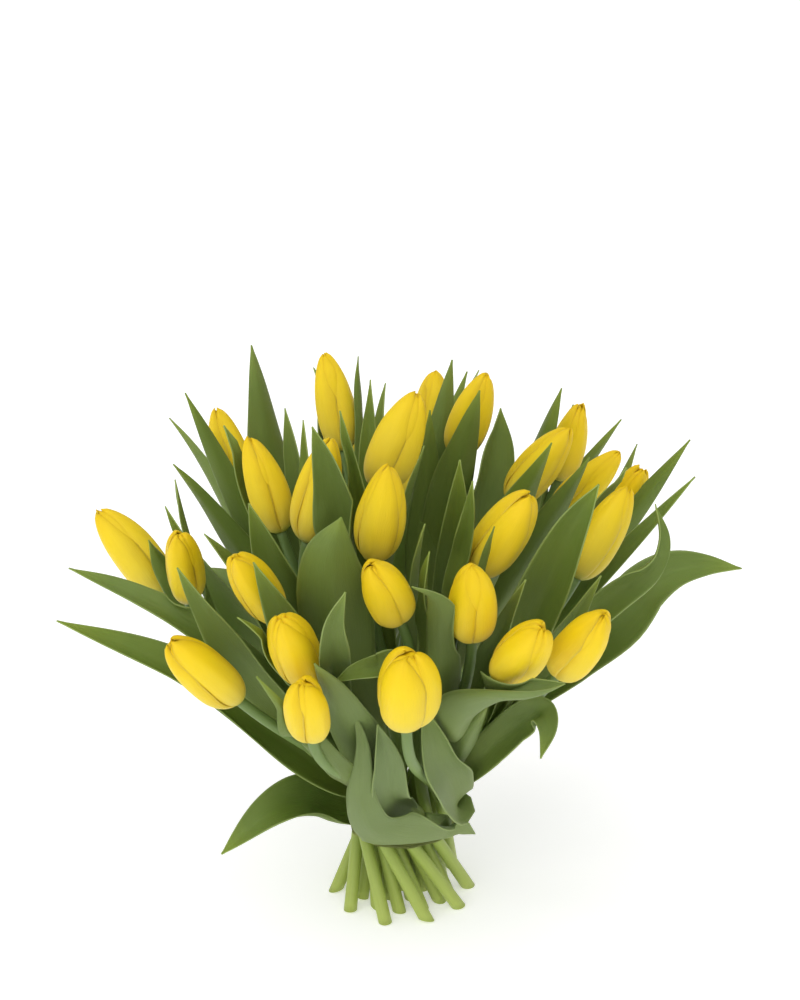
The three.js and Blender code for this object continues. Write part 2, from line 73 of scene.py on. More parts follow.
# One row for each tulip, in millimetres and degrees. spot is where its flower starts, seen from the
# middle of the tie: the compass angle, the lean from upright and the distance. faces is the flower's own
# compass angle and lean. flower is its length and width. waist is its ring and place at the tie. A plain
# leaf is the share of the stem's upper curve where it leaves it, its tip, its width and how far the tip
# bends back. A leaf that bends more than once has that share, its width, the compass angle and lean that
# its hollow side looks to at the root and at the tip, on some its own fold and taper, and the points that
# it runs by, the last its tip.
TULIPS = [
    dict(spot=(128, 14, 225), faces=(135, 16), flower=(58, 24), waist=(1, 2), leaves=[
        (0.6, (-25, 42, 323), 12, 5),
        (0.3, (-52, 78, 305), 26, 15),
    ]),
    dict(spot=(200, 4, 213), faces=(25, 25), flower=(60, 30), waist=(0, 0), leaves=[
        (0.5, (12, -34, 296), 15, 0),
        (0.55, (-18, 30, 313), 15, 0),
    ]),
    dict(spot=(77, 20, 213), faces=(75, 14), flower=(56, 24), waist=(2, 1), leaves=[
        (0.5, (29, 58, 316), 22, 0),
        (0.35, (46, 95, 298), 26, 10),
    ]),
    dict(spot=(54, 14, 222), faces=(335, 20), flower=(56, 25), waist=(1, 1), leaves=[
        (0.35, (16, 32, 294), 22, 0),
        (0.5, (43, 4, 315), 26, 0),
    ]),
    dict(spot=(154, 29, 214), faces=(150, 18), flower=(56, 24), waist=(2, 3), leaves=[
        (0.4, (-123, 30, 305), 17, 10),
        (0.3, (-128, 0, 273), 19, 15),
    ]),
    dict(spot=(196, 20, 205), faces=(170, 17), flower=(58, 24), waist=(1, 3), leaves=[
        (0.35, (-98, -12, 300), 28, 5),
        (0.55, (-66, 18, 300), 20, 0),
    ]),
    dict(spot=(220, 19, 208), faces=(15, 14), flower=(60, 27), waist=(1, 4), leaves=[
        dict(share=0.4, width=28, looks=((245, 80), (250, 80)), by=(
            (-30, -48, 232), (-33, -55, 264), (-38, -61, 291), (-47, -66, 318),
        )),
        (0.6, (-54, -20, 306), 16, 0),
    ]),
    dict(spot=(257, 19, 206), faces=(320, 11), flower=(58, 28), waist=(1, 5), leaves=[
        (0.4, (-33, -46, 320), 18, 0),
        (0.3, (12, -88, 272), 24, 5),
    ]),
    dict(spot=(179, 43, 199), faces=(160, 42), flower=(62, 28), waist=(2, 4), leaves=[
        (0.7, (-141, -22, 236), 20, 10),
        dict(share=0.15, width=20, looks=((300, 45), (290, 50)), by=(
            (-41, -24, 113), (-101, -48, 184), (-144, -44, 211), (-186, -24, 220),
        )),
        (0.25, (-136, 20, 240), 26, 10),
    ]),
    dict(spot=(197, 38, 201), faces=(264, 22), flower=(52, 22), waist=(3, 4), leaves=[
        (0.6, (-124, -30, 275), 18, 5),
    ]),
    dict(spot=(230, 32, 197), faces=(230, 34), flower=(56, 24), waist=(2, 5), leaves=[
        (0.35, (-104, -82, 264), 28, 5),
        (0.45, (-82, -58, 272), 30, 5),
    ]),
    dict(spot=(246, 40, 189), faces=(244, 30), flower=(56, 27), waist=(2, 6), leaves=[
        dict(share=0.3, width=42, looks=((90, 70), (90, 75)), by=(
            (-31, -74, 175), (-36, -95, 226), (-37, -106, 259), (-31, -114, 286),
        )),
        (0.5, (-76, -116, 262), 26, 0),
        (0.3, (-83, -140, 242), 16, 10),
        dict(share=0.35, width=19, looks=((275, 60), (285, 60)), by=(
            (-35, -88, 167), (-36, -120, 206), (-35, -144, 238), (-28, -154, 262),
        )),
    ]),
    dict(spot=(251, 49, 190), faces=(261, 26), flower=(45, 24), waist=(3, 6), leaves=[
        dict(share=0.12, width=16, looks=((80, 50), (120, 60)), by=(
            (-22, -72, 105), (-31, -100, 129), (-42, -124, 156), (-54, -138, 180), (-74, -142, 210),
        )),
        dict(share=0.02, width=40, looks=((80, 60), (90, 80)), fold=12, taper=0.5, by=(
            (31, -40, 61), (22, -50, 63), (10, -62, 68), (-5, -74, 76), (-17, -84, 89), (-22, -94, 110),
            (-22, -102, 130), (-21, -106, 148), (-23, -109, 164), (-27, -111, 175),
        )),
        dict(share=0.15, width=30, looks=((90, 60), (75, 70)), by=(
            (-13, -68, 103), (-25, -94, 146), (-33, -124, 185), (-44, -150, 221),
        )),
        dict(share=0.1, width=21, looks=((270, 70), (280, 70)), by=(
            (-6, -79, 106), (-8, -97, 138), (-13, -107, 165),
        )),
    ]),
    dict(spot=(229, 46, 185), faces=(208, 42), flower=(57, 27), waist=(3, 5), leaves=[
        (0.5, (-118, -90, 248), 24, 10),
        dict(share=0.2, width=32, looks=((290, 40), (290, 45)), by=(
            (-41, -50, 104), (-79, -60, 141), (-127, -62, 178), (-188, -62, 205),
        )),
        dict(share=0.04, width=32, looks=((280, 30), (270, 45)), by=(
            (-38, -46, 78), (-55, -60, 91), (-75, -76, 93), (-100, -90, 76),
        )),
    ]),
    dict(spot=(269, 29, 199), faces=(240, 34), flower=(50, 26), waist=(2, 7), leaves=[
        (0.55, (14, -116, 268), 16, 5),
        dict(share=0.6, width=13, looks=((270, 60), (270, 60)), by=(
            (-3, -114, 204), (-13, -122, 206), (-24, -126, 205), (-35, -126, 199),
        )),
    ]),
    dict(spot=(290, 33, 197), faces=(267, 24), flower=(56, 27), waist=(2, 8), leaves=[
        dict(share=0.4, width=20, looks=((80, 60), (60, 70)), by=(
            (22, -84, 174), (20, -111, 216), (18, -130, 245), (5, -145, 261),
        )),
        (0.4, (64, -108, 249), 14, 0),
    ]),
    dict(spot=(306, 21, 197), faces=(330, 31), flower=(60, 29), waist=(2, 9), leaves=[
        (0.4, (31, -48, 293), 24, 0),
        (0.45, (48, -92, 272), 14, 0),
        dict(share=0.5, width=11, looks=((265, 70), (265, 70)), by=(
            (26, -62, 217), (32, -68, 250), (35, -72, 271), (37, -75, 291),
        )),
    ]),
    dict(spot=(271, 46, 194), faces=(273, 19), flower=(49, 34), waist=(3, 7), leaves=[
        dict(share=0.12, width=27, looks=((290, 50), (275, 65)), by=(
            (31, -48, 83), (26, -72, 110), (20, -87, 131), (16, -99, 153), (11, -105, 175),
        )),
    ]),
    dict(spot=(295, 40, 194), faces=(300, 41), flower=(56, 27), waist=(3, 8), leaves=[
        dict(share=0.42, width=36, looks=((90, 25), (270, 25)), fold=52, by=(
            (28, -87, 145), (35, -111, 170), (50, -134, 192), (66, -144, 200), (83, -144, 207),
        )),
        dict(share=0.2, width=23, looks=((90, 60), (90, 60)), fold=50, by=(
            (25, -56, 105), (35, -85, 142), (45, -105, 174),
        )),
        dict(share=0.08, width=21, looks=((290, 50), (250, 60)), by=(
            (39, -48, 107), (53, -70, 135), (66, -86, 156), (75, -96, 166), (78, -104, 160),
            (74, -108, 145),
        )),
    ]),
    dict(spot=(310, 42, 193), faces=(308, 36), flower=(58, 26), waist=(3, 9), leaves=[
        dict(share=0.42, width=19, looks=((280, 45), (330, 75)), fold=35, by=(
            (66, -50, 163), (108, -60, 213), (132, -64, 237), (138, -64, 253), (135, -62, 273),
        )),
        (0.5, (104, -96, 246), 16, 5),
        dict(share=0.4, width=33, looks=((262, 70), (255, 75)), fold=40, by=(
            (63, -52, 180), (77, -72, 228), (90, -84, 268), (102, -88, 294),
        )),
    ]),
    dict(spot=(14, 18, 207), faces=(337, 35), flower=(60, 25), waist=(1, 0), leaves=[
        (0.4, (81, -32, 297), 26, 0),
        (0.7, (57, 48, 290), 34, 5),
    ]),
    dict(spot=(36, 31, 223), faces=(342, 15), flower=(50, 22), waist=(2, 0), leaves=[
        (0.4, (92, 48, 302), 24, 0),
        (0.2, (102, 84, 280), 22, 10),
    ]),
    dict(spot=(18, 27, 204), faces=(341, 40), flower=(60, 22), waist=(2, 11), leaves=[
        (0.4, (104, -8, 280), 20, 0),
    ]),
    dict(spot=(341, 31, 199), faces=(20, 31), flower=(58, 24), waist=(2, 10), leaves=[
        (0.6, (124, -16, 277), 16, 0),
        dict(share=0.35, width=34, looks=((260, 45), (270, 50)), by=(
            (62, -14, 129), (82, -22, 149), (99, -34, 171), (119, -42, 193), (134, -36, 211),
            (150, -30, 220), (169, -26, 222), (190, -22, 219),
        )),
        (0.4, (165, 4, 264), 13, 5),
    ]),
    dict(spot=(25, 41, 203), faces=(325, 24), flower=(60, 25), waist=(3, 0), leaves=[
        (0.35, (164, 24, 279), 19, 5),
        (0.5, (140, 76, 258), 20, 5),
    ]),
    dict(spot=(112, 24, 205), faces=(110, 28), flower=(56, 25), waist=(2, 2), leaves=[
        (0.4, (-52, 114, 292), 26, 5),
        (0.35, (-10, 110, 285), 26, 5),
    ]),
    dict(spot=(58, 41, 190), faces=(60, 42), flower=(58, 26), waist=(3, 1), leaves=[
        (0.35, (132, 95, 267), 18, 5),
        (0.15, (120, 165, 150), 34, 40),
    ]),
    dict(spot=(92, 42, 197), faces=(92, 41), flower=(58, 26), waist=(3, 2), leaves=[
        (0.35, (40, 130, 286), 22, 5),
        (0.15, (-10, 168, 140), 34, 40),
    ]),
    dict(spot=(134, 39, 195), faces=(130, 36), flower=(58, 26), waist=(3, 3), leaves=[
        (0.55, (-88, 74, 320), 28, 0),
        (0.3, (-142, 112, 262), 28, 10),
        (0.15, (-135, 150, 145), 34, 40),
    ]),
]

# The rings of places at the tie, each with its radius, how many places it has and where the first one is.
RINGS = [(0, 1, 0), (8.6, 6, 65), (17.4, 12, 127), (25.8, 10, 98)]

# How the stems cross at the tie and curve above it, how they narrow, and how their foot is cut aslant.
TIE_HEIGHT = 48
SPIRAL = 0.0247
STRAIGHT_ABOVE_TIE = 12
STEM_LEAVES = 0.36
STEM_ARRIVES = 0.3
STEM_RADIUS = 4
STEM_TOP_RADIUS = 2.9
STEM_NARROWING = 0.8
STRAIGHT_SHARE = 0.22
LEAST_SLANT = 0.1
MOST_SLANT = 0.35
CUT_FACE = 0.84
STEM_COLUMNS = 18
STEM_ROWS = 56
CUT_ROWS = 2
TOP_ROWS = 2
FULL_GREEN_AT = 0.2
FIBRE_DEPTH = 0.12
MM = 0.001
WELD_WITHIN = 0.002


def direction(compass, lean):
    """The direction with this compass angle and this lean from upright."""
    flat = math.sin(math.radians(lean))
    turn = math.radians(compass)
    return Vector((flat * math.cos(turn), flat * math.sin(turn), math.cos(math.radians(lean))))


def crossing(tulip):
    """Where a stem crosses the tie, and the way it runs there."""
    ring, place = tulip["waist"]
    radius, places, first = RINGS[ring]
    turn = math.radians(first + 360 / places * place)
    at = Vector((radius * math.cos(turn), radius * math.sin(turn), TIE_HEIGHT))
    return at, Vector((SPIRAL * at.y, -SPIRAL * at.x, 1)).normalized()


def foot_of(tulip):
    """Where a tulip's flower starts."""
    compass, lean, distance = tulip["spot"]
    return direction(compass, lean) * distance + Vector((0, 0, TIE_HEIGHT))


def upper_stem(tulip):
    """The corners of the curve from just above the tie up to the flower."""
    at, way = crossing(tulip)
    at = at + way * STRAIGHT_ABOVE_TIE
    end = foot_of(tulip)
    span = (end - at).length
    return at, at + way * span * STEM_LEAVES, end - direction(*tulip["faces"]) * span * STEM_ARRIVES, end


def on_curve(corners, share):
    """The point a share of the way along a curve with four corners."""
    a, b, c, d = corners
    rest = 1 - share
    return a * rest**3 + b * (3 * rest**2 * share) + c * (3 * rest * share**2) + d * share**3


def run_of(corners, share):
    """The way that a curve with four corners runs at a share of it."""
    a, b, c, d = corners
    rest = 1 - share
    return ((b - a) * rest**2 + (c - b) * (2 * rest * share) + (d - c) * share**2).normalized()


def new_sheet():
    """An empty mesh that keeps a map: x across each sheet and y along it."""
    sheet = bmesh.new()
    sheet.loops.layers.uv.new("map")
    return sheet


def add_grid(sheet, columns, rows, place):
    """Adds a grid, each point moved to its place by how far it is across (-1 to 1) and along (0 to 1)."""
    made = bmesh.ops.create_grid(sheet, x_segments=columns, y_segments=rows, size=1, calc_uvs=True)["verts"]
    for point in made:
        point.co = place(point.co.x, (point.co.y + 1) / 2) * MM
    return made


def round_section(at, way, turn, radius):
    """A point of a round tube, with the tube's middle at a place and running a given way."""
    side = way.cross(Vector((1, 0, 0))).normalized()
    return at + (side * math.cos(turn) + way.cross(side) * math.sin(turn)) * radius


def add_piece(name, sheet, finish, thickness=0.0):
    """Makes a finished sheet a piece of the bunch."""
    bmesh.ops.remove_doubles(sheet, verts=sheet.verts, dist=WELD_WITHIN * MM)
    mesh = bpy.data.meshes.new(name)
    sheet.to_mesh(mesh)
    sheet.free()
    mesh.shade_smooth()
    mesh.materials.append(finish.material)
    piece = add_object(name, mesh)
    if thickness:
        wall = piece.modifiers.new("thickness", "SOLIDIFY")
        wall.thickness = thickness * MM
        wall.offset = 0
    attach(piece, "root")
    return piece


def srgb(red, green, blue):
    """A colour as a screen shows it, each part from 0 to 255, in the linear units that shaders take."""
    return tuple(((part / 255 + 0.055) / 1.055) ** 2.4 for part in (red, green, blue))


class Socket:
    """One output of a node: a number that varies over a surface. Arithmetic with it adds Math nodes."""

    def __init__(self, finish, link):
        self.finish = finish
        self.link = link

    def math(self, operation, *values):
        return self.finish.add("ShaderNodeMath", {"operation": operation}, dict(enumerate(values)))

    def __add__(self, other):
        return self.math("ADD", self, other)

    def __sub__(self, other):
        return self.math("SUBTRACT", self, other)

    def __rsub__(self, other):
        return self.math("SUBTRACT", other, self)

    def __mul__(self, other):
        return self.math("MULTIPLY", self, other)

    def __abs__(self):
        return self.math("ABSOLUTE", self)

    __radd__ = __add__
    __rmul__ = __mul__


class Finish:
    """A material. Even values go straight to its shader, and varied ones come from nodes that are added."""

    def __init__(self, name, **even):
        self.material = bpy.data.materials.new(name)
        self.material.use_nodes = True
        self.tree = self.material.node_tree
        self.shader = self.tree.nodes["Principled BSDF"]
        for socket, value in even.items():
            self.shader.inputs[socket.replace("_", " ")].default_value = value

    def add(self, kind, settings=None, inputs=None, output=0):
        """Adds a node, with its settings and then the values or links of its sockets."""
        node = self.tree.nodes.new(kind)
        for name, value in (settings or {}).items():
            if name == "stops":
                self.set_stops(node.color_ramp.elements, value)
            else:
                setattr(node, name, value)
        for name, value in (inputs or {}).items():
            self.feed(node.inputs[name], value)
        return Socket(self, node.outputs[output])

    def set_stops(self, points, stops):
        while len(points) < len(stops):
            points.new(0.5)
        for point, (place, colour) in zip(points, stops):
            point.position = place
            point.color = (*colour, 1)

    def feed(self, socket, value):
        if isinstance(value, Socket):
            self.tree.links.new(value.link, socket)
        else:
            socket.default_value = value

    def shade(self, **varied):
        for socket, value in varied.items():
            self.feed(self.shader.inputs[socket.replace("_", " ")], value)

    def ramp(self, value, *stops):
        return self.add("ShaderNodeValToRGB", {"stops": stops}, {0: value})

    def mix(self, share, first, second):
        """Two colours mixed, the share being how much there is of the second."""
        first, second = [(*c, 1) if isinstance(c, tuple) else c for c in (first, second)]
        return self.add("ShaderNodeMix", {"data_type": "RGBA"}, {0: share, 6: first, 7: second}, 2)

    def tint(self, colour, value):
        """A colour made lighter or darker by a number near 1."""
        return self.add("ShaderNodeVectorMath", {"operation": "SCALE"}, {0: colour, "Scale": value})

    def step(self, value, low, high):
        """0 where the value is at low, 1 where it is at high, and an even slope between the two."""
        return self.add("ShaderNodeMapRange", {}, {0: value, 1: low, 2: high})

    def grain(self, places, scale, stretch=(1, 1, 1), detail=2.0):
        """Noise from 0 to 1, its grain drawn out by the stretch."""
        moved = self.add("ShaderNodeMapping", {}, {"Vector": places, "Scale": stretch})
        return self.add("ShaderNodeTexNoise", {}, {"Vector": moved, "Scale": scale, "Detail": detail})

    def coordinates(self, kind):
        """The place on the object in metres, or the piece's own map."""
        return self.add("ShaderNodeTexCoord", output=kind)

    def split(self, vector):
        first = self.add("ShaderNodeSeparateXYZ", {}, {0: vector})
        return [Socket(self, output) for output in first.link.node.outputs]

    def mark(self, name):
        """A number kept on the piece's mesh."""
        return self.add("ShaderNodeAttribute", {"attribute_name": name}, output="Fac")

    def bump(self, height, distance):
        self.shade(Normal=self.add("ShaderNodeBump", {}, {"Height": height, "Distance": distance}))


stem_finish = Finish("stem_skin", Specular_IOR_Level=0.4, Subsurface_Weight=0.12, Subsurface_Scale=0.004)
stem_finish.shader.inputs["Subsurface Radius"].default_value = (0.6, 1.0, 0.3)
stem_places = stem_finish.coordinates("Object")
_, _, height = stem_finish.split(stem_places)
fibres = stem_finish.grain(stem_finish.coordinates("UV"), 9, (14, 1.2, 1), 3)
bloom = stem_finish.grain(stem_places, 60, detail=3)
stem_colour = stem_finish.ramp(
    stem_finish.step(height, 0, FULL_GREEN_AT),
    (0, srgb(174, 188, 90)),
    (0.25, srgb(150, 170, 74)),
    (0.6, srgb(108, 134, 62)),
    (1, srgb(92, 118, 56)),
)
stem_colour = stem_finish.mix(bloom * 0.22, stem_colour, srgb(150, 170, 104))
stem_finish.shade(
    Base_Color=stem_finish.tint(stem_colour, 0.84 + 0.32 * fibres),
    Roughness=0.34 + 0.22 * bloom,
)
stem_finish.bump(fibres, FIBRE_DEPTH * MM)

random.seed(7)
for number, tulip in enumerate(TULIPS, 1):
    corners = upper_stem(tulip)
    waist, way = crossing(tulip)
    stem_start = waist - way * (TIE_HEIGHT / way.z)
    slant = random.uniform(LEAST_SLANT, MOST_SLANT)
    slant_turn = random.uniform(0, 2 * math.pi)

    def stem_point(across, along):
        """The first rows are the cut face, and the last ones close the top inside the flower."""
        row = round(along * STEM_ROWS)
        turn = across * math.pi
        share = min(max(0, (row - CUT_ROWS) / (STEM_ROWS - CUT_ROWS - TOP_ROWS)), 1)
        radius = STEM_RADIUS + (STEM_TOP_RADIUS - STEM_RADIUS) * share**STEM_NARROWING
        if share < STRAIGHT_SHARE:
            at = stem_start.lerp(corners[0], share / STRAIGHT_SHARE)
            run = way
        else:
            along_curve = (share - STRAIGHT_SHARE) / (1 - STRAIGHT_SHARE)
            at = on_curve(corners, along_curve)
            run = run_of(corners, along_curve)
        if row < CUT_ROWS:
            radius *= row * CUT_FACE
        if row > STEM_ROWS - TOP_ROWS:
            radius *= (STEM_ROWS - row) / TOP_ROWS
        point = round_section(at, run, turn, radius)
        if row <= CUT_ROWS:
            rise = slant * (radius * math.cos(turn - slant_turn) + STEM_RADIUS)
            point += way * ((rise - point.z) / way.z)
        return point

    stalk = new_sheet()
    add_grid(stalk, STEM_COLUMNS, STEM_ROWS, stem_point)
    add_piece(f"tulip_{number:02d}_stem", stalk, stem_finish)


# The flowers. Each is a closed bud of six thick, satin petals: three inner ones, and three broad outer
# ones whose edges lap over each other. Every petal grows from the top of the stem as a deeply cupped
# sheet with a blunt tip, and each outer one has a faint keel down its middle.

# One row for each bud: how far one of its outer petals is turned from the front, in degrees, how full the
# bud stays above its widest part, and how far its petals' tips stand off its middle, as a share of its
# half width.
BUDS = [
    (54, 1.68, 0.06), (-48, 1.85, 0.09), (20, 2.02, 0.09), (55, 1.68, 0.06), (40, 1.68, 0.06),
    (55, 1.68, 0.06), (10, 1.76, 0.06), (-10, 1.43, 0.06), (75, 2.18, 0.12), (-35, 2.69, 0.15),
    (-20, 2.52, 0.15), (-12, 2.35, 0.18), (32, 3.02, 0.18), (12, 2.69, 0.15), (60, 2.35, 0.12),
    (60, 2.1, 0.06), (8, 2.18, 0.09), (-28, 2.86, 0.18), (-25, 2.44, 0.15), (55, 2.27, 0.09),
    (-5, 1.76, 0.06), (45, 1.68, 0.18), (50, 1.76, 0.09), (-20, 1.85, 0.12), (20, 1.8, 0.2),
    (0, 1.93, 0.09), (30, 1.93, 0.09), (50, 1.93, 0.09), (10, 1.93, 0.09),
]

# A petal's outline, from its foot to its tip, as shares of its greatest half width and of its length.
PETAL_FOOT = 0.5
WIDEST_PETAL_AT = 0.42
PETAL_TIP = 0.03
TIP_SQUARENESS = 4.5
TIP_ROUNDING = 0.55

# The bud's shape, as shares of its half width and length: how its foot and its top round in, and how much
# of its radius is the petal's own cup.
WIDEST_BUD_AT = 0.4
BUD_FOOT = 0.3
FOOT_SQUARENESS = 2.8
FOOT_ROUNDING = 0.75
TOP_ROUNDING = 0.6
TOP_LEFT_OPEN = 0.03
CUPPING = 0.74

# How a petal wraps the bud: its breadth as a share of the bud's, and the most that it can wrap to each
# side, in radians, with how much less it wraps at its tip.
PETALS_IN_A_RING = 3
PETAL_SPREAD = 1.1
MOST_WRAPPED = 1.7
TIP_UNWRAPPED = 0.4

# Inner petals are fuller at the top, narrower, a little shorter, and close in under the outer ones.
INNER_FULLER = 0.8
INNER_BREADTH = 0.85
INNER_SHORTER = 0.02
INNER_SHARE = 0.78
INNER_TOP_SHARE = 0.95

# In millimetres: how far petals lie inside the bud's outline, their tightest cup, how high the keel and
# the waves stand, how far an edge stands over the next petal, and the thickness.
PETAL_INSET = 0.4
TIGHTEST_CUP = 0.5
KEEL_HEIGHT = 0.5
PETAL_WAVES = 0.9
LAP = 0.9
PETAL_THICKNESS = 0.5

# The keel's width, how close the waves are, across and up a petal, how the lap dies away towards both
# ends, how much lower a petal's corners are than its middle, and how far its length may fall short.
KEEL_WIDTH = 0.14
WAVES_ACROSS = 1.5
WAVES_UP = 2.5
LAP_EASING = 0.6
CORNERS_DIP = 0.03
SHORTEST_PETAL = -0.04

# The least share of the painted shade at the petals' edges that a flower gets.
LEAST_EDGE_SHADE = 0.2
PETAL_COLUMNS = 18
PETAL_ROWS = 30
PETAL_GRAIN_DEPTH = 0.25

petal_finish = Finish("petal", Specular_IOR_Level=0.35, Subsurface_Weight=0.15, Subsurface_Scale=0.004)
petal_finish.shader.inputs["Subsurface Radius"].default_value = (1.0, 0.7, 0.08)
petal_map = petal_finish.coordinates("UV")
across_petal, up_petal, _ = petal_finish.split(petal_map)
petal_places = petal_finish.coordinates("Object")
tone = petal_finish.mark("tone")
off_middle = abs(across_petal * 2 - 1)
streaks = petal_finish.grain(petal_map, 6, (16, 1, 1), 4)
clouds = petal_finish.grain(petal_places, 45, detail=2)
petal_colour = petal_finish.ramp(
    up_petal,
    (0, srgb(186, 186, 70)),
    (0.1, srgb(232, 206, 74)),
    (0.35, srgb(246, 213, 46)),
    (0.7, srgb(251, 214, 18)),
    (1, srgb(252, 208, 4)),
)
# Painted shade: a deeper gold towards each petal's edges, where the petals lap over and shade each other,
# stronger on some flowers than on others.
painted_edge_shade = petal_finish.step(off_middle + 0.6 * clouds, 0.85, 1.35)
petal_colour = petal_finish.mix(painted_edge_shade * (0.35 + 0.5 * tone), petal_colour, srgb(222, 182, 10))
# Painted highlight: a pale rim of light along each petal's edges.
painted_rim_light = petal_finish.step(off_middle, 0.93, 0.995)
petal_colour = petal_finish.mix(painted_rim_light * 0.4, petal_colour, srgb(248, 230, 110))
petal_finish.shade(
    Base_Color=petal_finish.tint(petal_colour, 0.92 + 0.12 * streaks),
    Roughness=0.42 + 0.2 * streaks,
)
petal_finish.bump(streaks + 0.4 * clouds, PETAL_GRAIN_DEPTH * MM)


def petal_outline(along):
    """A petal's half width, as a share of its widest, a share of the way up it."""
    if along < WIDEST_PETAL_AT:
        return 1 - (1 - PETAL_FOOT) * (1 - along / WIDEST_PETAL_AT) ** 2
    above = (along - WIDEST_PETAL_AT) / (1 - WIDEST_PETAL_AT)
    return max(PETAL_TIP, (1 - above**TIP_SQUARENESS) ** TIP_ROUNDING)


def petal_curve(along, fullness, tip):
    """How far a petal's own middle stands off the bud's, and its radius round that, as shares."""
    if along < WIDEST_BUD_AT:
        below = 1 - along / WIDEST_BUD_AT
        wide = BUD_FOOT + (1 - BUD_FOOT) * (1 - below**FOOT_SQUARENESS) ** FOOT_ROUNDING
        return wide * (1 - CUPPING), wide * CUPPING
    above = (along - WIDEST_BUD_AT) / (1 - WIDEST_BUD_AT)
    off = (1 - CUPPING) + (tip - (1 - CUPPING)) * above**2
    narrowing = max(0, 1 - above**fullness) ** TOP_ROUNDING
    return off, CUPPING * (TOP_LEFT_OPEN + (1 - TOP_LEFT_OPEN) * narrowing)


def petal_place(tulip, bud, turn, outer, lift):
    """Puts a point of one petal in its place, on an arc round the petal's own middle."""
    length, width = tulip["flower"]
    _, fullness, tip = bud
    axis = direction(*tulip["faces"])
    foot = foot_of(tulip)
    upright = Vector((0, 0, 1)).rotation_difference(axis)
    seed = Vector((turn * 3, foot.x, foot.y))
    breadth = PETAL_SPREAD * (width / 2) * (1 if outer else INNER_BREADTH)

    def place(across, along):
        if outer:
            off, own_radius = petal_curve(along, fullness, tip)
            share = 1
        else:
            off, own_radius = petal_curve(along, fullness + INNER_FULLER, 0)
            share = INNER_SHARE + (INNER_TOP_SHARE - INNER_SHARE) * along**3
        off *= share * (width / 2 - PETAL_INSET)
        own_radius *= share * (width / 2 - PETAL_INSET)
        wrapped = breadth * petal_outline(along) / max(own_radius, TIGHTEST_CUP)
        angle = min(wrapped, MOST_WRAPPED - TIP_UNWRAPPED * along**4) * across
        middle = math.sin(math.pi * along)
        keel = KEEL_HEIGHT * math.exp(-((across / KEEL_WIDTH) ** 2)) * middle if outer else 0
        wave_spot = seed + Vector((across * WAVES_ACROSS, along * WAVES_UP, 0))
        waves = noise.noise(wave_spot) * PETAL_WAVES * along
        own = own_radius + keel + waves + LAP * across * middle**LAP_EASING
        out = off + own * math.cos(angle)
        aside = own * math.sin(angle)
        height = length * (along * (1 + lift) - CORNERS_DIP * across**2 * along)
        point = Vector((
            out * math.cos(turn) - aside * math.sin(turn),
            out * math.sin(turn) + aside * math.cos(turn),
            height,
        ))
        point.rotate(upright)
        return foot + point

    return place


def turn_to_front(tulip):
    """The turn, about the bud's own axis, of the side that shows in the photograph."""
    toward = Vector(CAMERA_AT) / MM - foot_of(tulip)
    toward.rotate(direction(*tulip["faces"]).rotation_difference(Vector((0, 0, 1))))
    return math.atan2(toward.y, toward.x)


random.seed(21)
for number, (tulip, bud) in enumerate(zip(TULIPS, BUDS), 1):
    flower = new_sheet()
    # Each flower gets its own share of the painted shade at its petals' edges.
    edge_shade_layer = flower.verts.layers.float.new("tone")
    flower_edge_shade = random.uniform(LEAST_EDGE_SHADE, 1)
    for petal in range(2 * PETALS_IN_A_RING):
        outer = petal < PETALS_IN_A_RING
        step = 360 / PETALS_IN_A_RING * petal + (0 if outer else 180 / PETALS_IN_A_RING)
        turn = turn_to_front(tulip) + math.radians(bud[0] + step)
        lift = random.uniform(SHORTEST_PETAL, 0) - (0 if outer else INNER_SHORTER)
        place = petal_place(tulip, bud, turn, outer, lift)
        for point in add_grid(flower, PETAL_COLUMNS, PETAL_ROWS, place):
            point[edge_shade_layer] = flower_edge_shade
    name = f"tulip_{number:02d}_flower"
    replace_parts(add_piece(name + "_petals", flower, petal_finish, PETAL_THICKNESS), name)


# The leaves. Each is one long, fleshy blade that grows from its stem, which the plain ones clasp, opens
# from a deep channel to a shallow one, waves a little along its edges and ends in a point. A grey wax
# bloom lies over the green, and the edges are thin and pale.

# How a leaf leaves its stem and reaches its tip: the angle in degrees, how far its root stands off the
# middle of the stem in millimetres, and how long it keeps each direction, as a share of its reach.
LEAVING_ANGLE = 18
LEAF_ROOT = 1.2
LEAF_LEAVES = 0.38
LEAF_ARRIVES = 0.32

# Its outline, in shares of its width and length, and its narrowest half width in millimetres. The root is
# widened and stands off, in millimetres and shares, to clasp the stem.
ROOT_WIDTH = 0.22
WIDEST_LEAF_AT = 0.42
TIP_TAPER = 1.9
TIP_HALF_WIDTH = 0.3
CLASP_ENDS = 0.16
CLASP_WIDTH = 7.5
CLASP_SHARE = 0.4
CLASP_STANDS_OFF = 3

# Its section: the fold in degrees and how much channel a degree makes, how much deeper the root's channel
# is, in radians, and how it opens, the crease along the rib, and where an edge that turns over starts to.
BLADE_FOLD = 20
CHANNEL_FOR_FOLD = 1.5
ROOT_CHANNEL = 1.35
BENT_ROOT_CHANNEL = 0.3
CHANNEL_OPEN_AT = 0.36
CHANNEL_OPENING = 1.5
RIB_CREASE = 0.28
RIB_WIDTH = 0.12
TURNED_FROM = 0.55
NEARLY_STRAIGHT = 0.001

# The waves along its edges: their height in millimetres, their radians from root to tip, how far one edge
# is ahead of the other, and how they die away towards the rib.
EDGE_WAVE = 1.3
WAVES_ALONG = 15
OTHER_EDGE = 2.1
WAVE_AT_EDGE = 2.5

# How far blades keep off the flowers that they pass, in millimetres. Each flower is taken as a round
# body, whose middle and half length are shares of the flower's length.
BLADE_CLEARANCE = 2.2
ROUND_MIDDLE = 0.42
ROUND_HALF = 0.64

LEAST_WAX = 0.05
MOST_WAX = 0.35
LEAF_THICKNESS = 0.7
LEAF_COLUMNS = 12
LEAF_ROWS = 48
LEAF_GRAIN_DEPTH = 0.25

